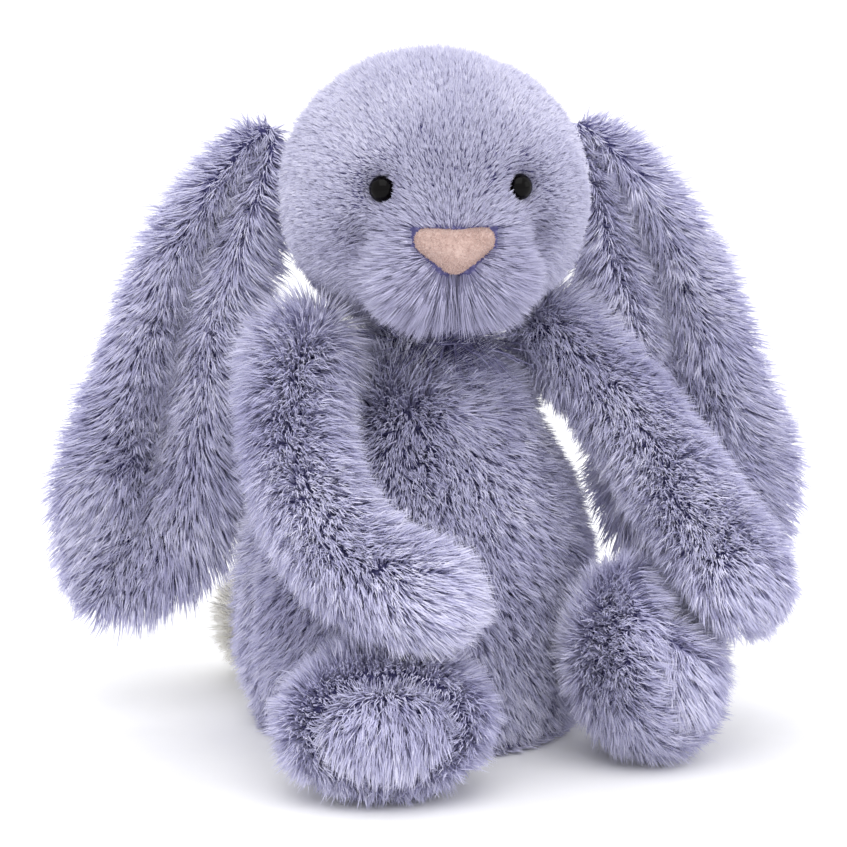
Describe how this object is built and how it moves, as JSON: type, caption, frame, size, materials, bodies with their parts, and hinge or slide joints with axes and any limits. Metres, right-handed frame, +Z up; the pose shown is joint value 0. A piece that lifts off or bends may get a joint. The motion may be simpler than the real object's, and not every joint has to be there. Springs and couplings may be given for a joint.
{
  "type": "stuffed bunny rabbit",
  "caption": "Seated stuffed bunny rabbit with long hanging lop ears, a round head, soft bent arms resting on its feet, a weighted flat seat and a pompom tail.",
  "frame": {"origin": "centre of the flat base, on the surface that the toy sits on", "axes": "+Z up; the belly faces -Y; the toy's own left is +X and its own right is -X"},
  "size_m": [0.2386, 0.1955, 0.2213],
  "materials": {
    "violet_plush": "long-pile plush, silky and matte",
    "cream_plush": "long-pile plush",
    "nose_velour": "short velour",
    "thread": "twisted polyester thread",
    "eye_plastic": "polished",
    "eye_washer": "as moulded",
    "polyester_fibre_filling": "loose fibre",
    "bead_pouch": "woven cotton"
  },
  "bodies": {
    "torso": {"torso_front": "violet_plush", "torso_back_left": "violet_plush", "torso_back_right": "violet_plush", "torso_base": "violet_plush", "torso_filling": "polyester_fibre_filling", "bead_pouch": "bead_pouch"},
    "neck": {"neck_gather": "violet_plush"},
    "head": {"head_side_left": "violet_plush", "head_side_right": "violet_plush", "head_gusset": "violet_plush", "head_chin": "violet_plush", "head_filling": "polyester_fibre_filling", "eye_left": "eye_plastic", "eye_right": "eye_plastic", "eye_washer_left": "eye_washer", "eye_washer_right": "eye_washer", "nose": "nose_velour", "mouth_stitch": "thread"},
    "ear_left": {"ear_left_front": "violet_plush", "ear_left_back": "violet_plush"},
    "ear_right": {"ear_right_front": "violet_plush", "ear_right_back": "violet_plush"},
    "arm_left": {"arm_left_outer": "violet_plush", "arm_left_inner": "violet_plush", "arm_left_filling": "polyester_fibre_filling"},
    "arm_right": {"arm_right_outer": "violet_plush", "arm_right_inner": "violet_plush", "arm_right_filling": "polyester_fibre_filling"},
    "leg_left": {"leg_left_outer": "violet_plush", "leg_left_inner": "violet_plush", "leg_left_sole": "violet_plush", "leg_left_filling": "polyester_fibre_filling"},
    "leg_right": {"leg_right_outer": "violet_plush", "leg_right_inner": "violet_plush", "leg_right_sole": "violet_plush", "leg_right_filling": "polyester_fibre_filling"},
    "tail": {"tail": "cream_plush"}
  },
  "joints": [
    {"name": "head_turn", "type": "hinge", "parent": "torso", "child": "neck", "pos_m": [0.0035, -0.006, 0.1294], "axis": [0, 0, 1], "range_deg": [-2, 10]},
    {"name": "head_nod", "type": "hinge", "parent": "neck", "child": "head", "pos_m": [0.0035, -0.006, 0.1294], "axis": [0.9563, -0.2924, 0], "range_deg": [-7, 7]},
    {"name": "ear_left_lift", "type": "hinge", "parent": "head", "child": "ear_left", "pos_m": [0.06187, -0.00032, 0.19054], "axis": [-0.2924, -0.9563, 0], "range_deg": [0, 75]},
    {"name": "ear_right_lift", "type": "hinge", "parent": "head", "child": "ear_right", "pos_m": [-0.04172, 0.03135, 0.19054], "axis": [0.2924, 0.9563, 0], "range_deg": [0, 75]},
    {"name": "arm_left_lift", "type": "hinge", "parent": "torso", "child": "arm_left", "pos_m": [0.044, -0.008, 0.126], "axis": [-1, 0, 0], "range_deg": [0, 60]},
    {"name": "arm_right_lift", "type": "hinge", "parent": "torso", "child": "arm_right", "pos_m": [-0.044, -0.008, 0.126], "axis": [-1, 0, 0], "range_deg": [0, 60]},
    {"name": "leg_left_drop", "type": "hinge", "parent": "torso", "child": "leg_left", "pos_m": [0.04362, -0.06466, 0.033], "axis": [0.8829, 0.4695, 0], "range_deg": [0, 50]},
    {"name": "leg_right_drop", "type": "hinge", "parent": "torso", "child": "leg_right", "pos_m": [-0.04362, -0.06466, 0.024], "axis": [0.9272, -0.3746, 0], "range_deg": [0, 50]},
    {"name": "tail_wag", "type": "hinge", "parent": "torso", "child": "tail", "pos_m": [-0.01693, 0.05212, 0.02], "axis": [0, 0, 1], "range_deg": [-10, 10]}
  ]
}
